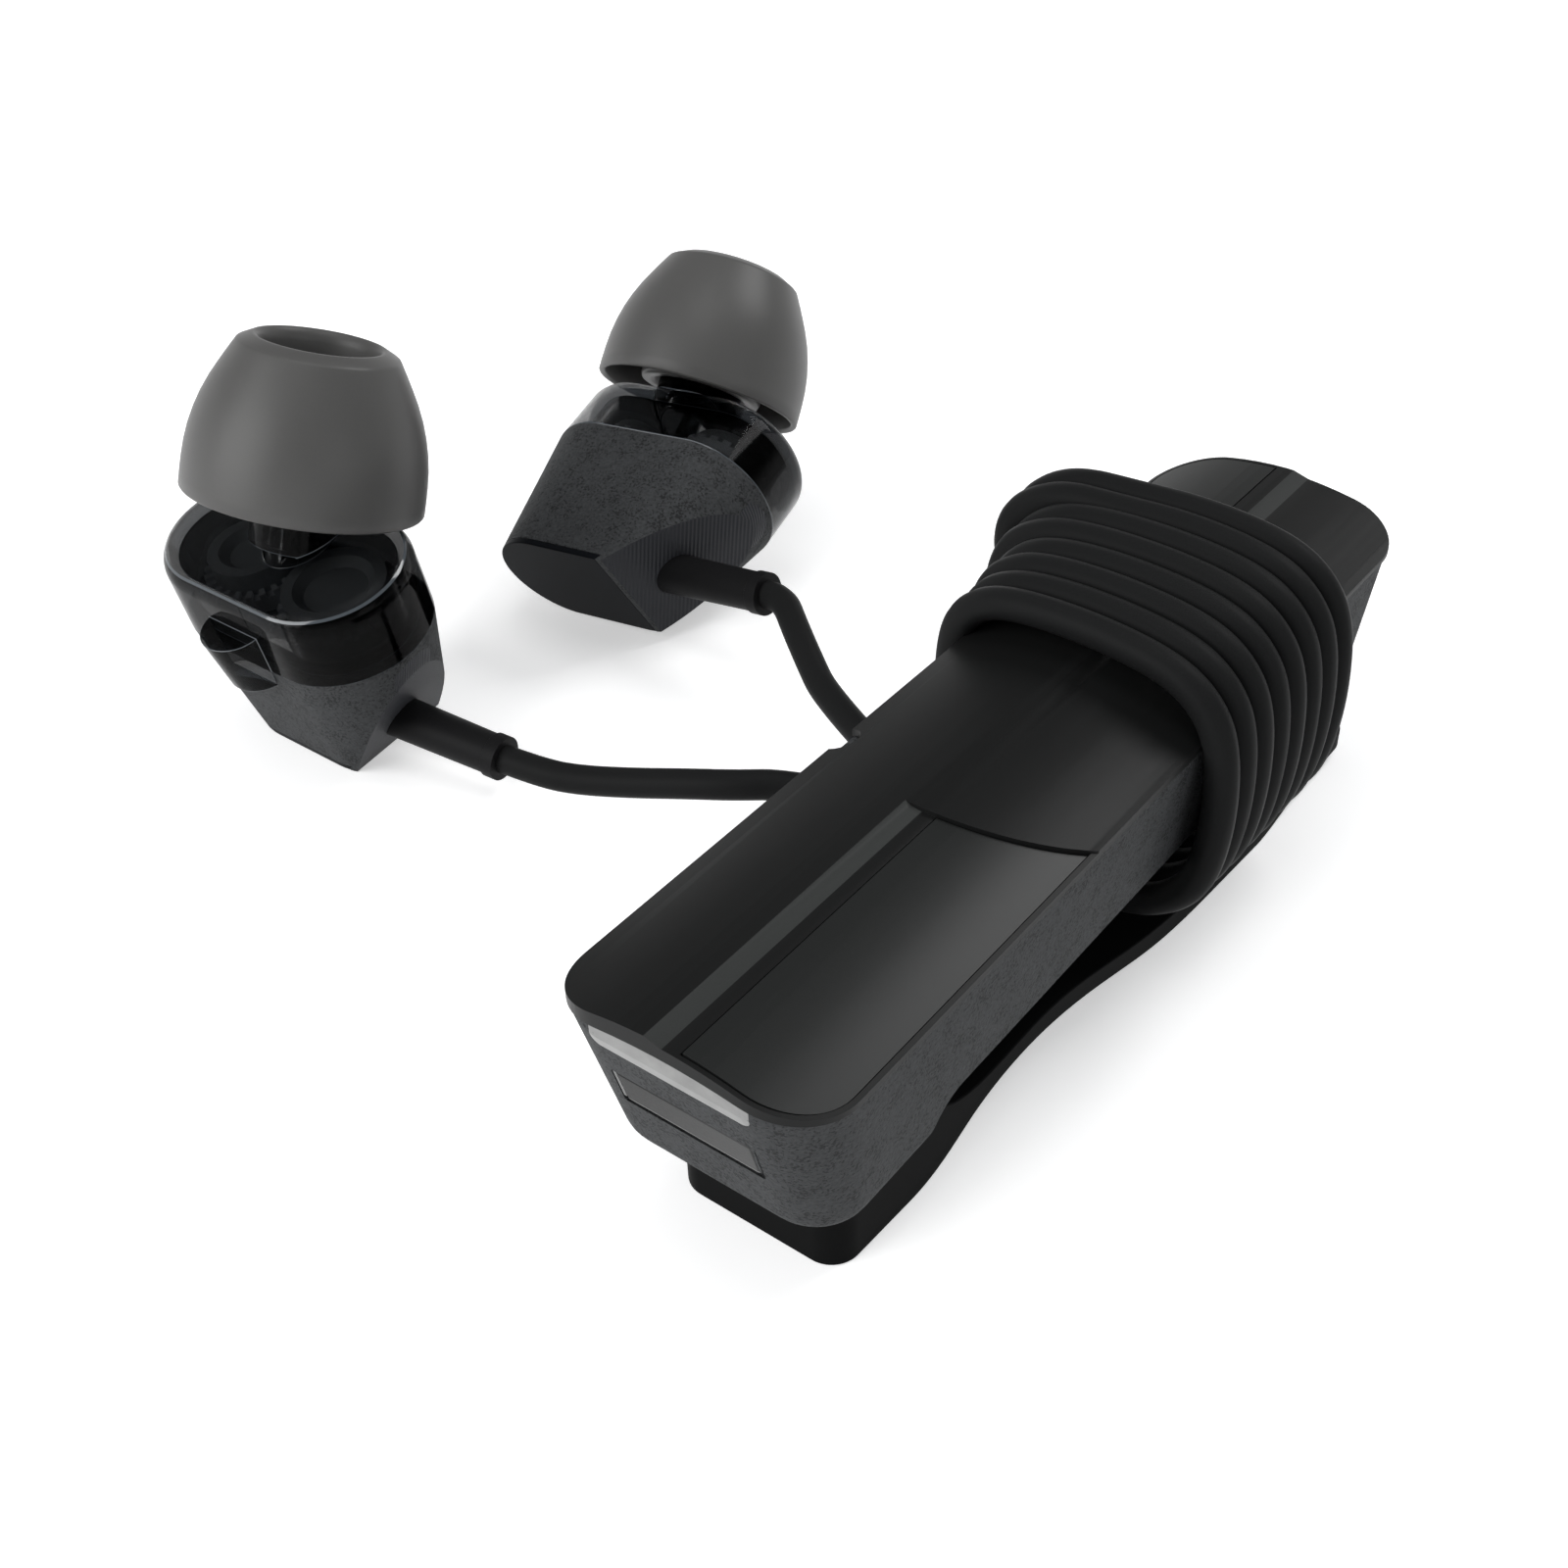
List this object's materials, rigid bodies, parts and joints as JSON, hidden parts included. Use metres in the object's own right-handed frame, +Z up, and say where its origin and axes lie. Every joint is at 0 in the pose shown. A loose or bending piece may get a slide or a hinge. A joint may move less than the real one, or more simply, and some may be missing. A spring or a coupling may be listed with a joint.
{
  "type": "in-ear earphones with clip-on hub",
  "caption": "In-ear earphones with dark ear tips and clear-fronted buds, their cords wound round a slim clip-on hub with buttons, a light and a charging port.",
  "frame": {"origin": "middle of the clip foot's flat underside, on the surface the object rests on", "axes": "+Z up, +Y along the hub from its charging-port end to its hinge end, +X across the hub, away from the earbuds"},
  "size_m": [0.0605, 0.0589, 0.025],
  "materials": {
    "cover_plastic": "satin",
    "button_plastic": "satin",
    "housing_plastic": "fine-grained matte",
    "window_plastic": "frosted",
    "emitter_white": "gloss",
    "socket_steel": "plated",
    "board": "solder mask",
    "battery_foil": "foil",
    "switch_steel": "stamped",
    "clip_plastic": "satin",
    "steel": "plain",
    "cord_rubber": "matte",
    "tip_silicone": "satin silicone",
    "smoke_clear": "polished smoke-clear plastic",
    "driver_metal": "stamped",
    "ring_metal": "toothed",
    "carrier_plastic": "matte",
    "cap_plastic": "satin",
    "rib_plastic": "ribbed",
    "relief_rubber": "matte"
  },
  "bodies": {
    "hub": {"housing": "housing_plastic", "top_cover": "cover_plastic", "light_window": "window_plastic", "light_emitter": "emitter_white", "charge_socket": "socket_steel", "circuit_board": "board", "battery": "battery_foil", "front_switch": "switch_steel", "rear_switch": "switch_steel", "clip_pin": "steel", "clip_spring": "steel", "cord_grommet": "cord_rubber", "left_cord": "cord_rubber", "right_cord": "cord_rubber", "left_cord_winding": "cord_rubber", "right_cord_winding": "cord_rubber", "left_rear_body": "housing_plastic", "left_end_cap": "cap_plastic", "left_cable_cap": "rib_plastic", "left_strain_relief": "relief_rubber", "left_front_shell": "smoke_clear", "left_nozzle_mesh": "steel", "left_large_driver": "driver_metal", "left_large_driver_ring": "ring_metal", "left_small_driver": "driver_metal", "left_small_driver_ring": "ring_metal", "left_driver_carrier": "carrier_plastic", "right_rear_body": "housing_plastic", "right_end_cap": "cap_plastic", "right_cable_cap": "rib_plastic", "right_strain_relief": "relief_rubber", "right_front_shell": "smoke_clear", "right_nozzle_mesh": "steel", "right_large_driver": "driver_metal", "right_large_driver_ring": "ring_metal", "right_small_driver": "driver_metal", "right_small_driver_ring": "ring_metal", "right_driver_carrier": "carrier_plastic"},
    "clip": {"clip": "clip_plastic"},
    "front_button": {"front_button": "button_plastic"},
    "rear_button": {"rear_button": "button_plastic"},
    "port_door": {"port_door": "housing_plastic"},
    "left_ear_tip": {"left_ear_tip": "tip_silicone"},
    "right_ear_tip": {"right_ear_tip": "tip_silicone"}
  },
  "joints": [
    {"name": "clip_hinge", "type": "hinge", "parent": "hub", "child": "clip", "pos_m": [0, 0.0412, 0.0034], "axis": [1, 0, 0], "range_deg": [0, 25], "stiffness_Nm_per_rad": 0.08, "springref_deg": -20.05},
    {"name": "front_button_press", "type": "slide", "parent": "hub", "child": "front_button", "axis": [0, 0, -1], "range_m": [0, 0.0002], "stiffness_N_per_m": 1500},
    {"name": "rear_button_press", "type": "slide", "parent": "hub", "child": "rear_button", "axis": [0, 0, -1], "range_m": [0, 0.0002], "stiffness_N_per_m": 1500},
    {"name": "port_door_hinge", "type": "hinge", "parent": "hub", "child": "port_door", "pos_m": [0, -0.00583, 0.00955], "axis": [1, 0, 0], "range_deg": [0, 90]},
    {"name": "left_tip_pull", "type": "slide", "parent": "hub", "child": "left_ear_tip", "axis": [0, 0.3584, 0.9336], "range_m": [0, 0.009]},
    {"name": "right_tip_pull", "type": "slide", "parent": "hub", "child": "right_ear_tip", "axis": [-0.1286, 0.6598, 0.7403], "range_m": [0, 0.009]}
  ]
}
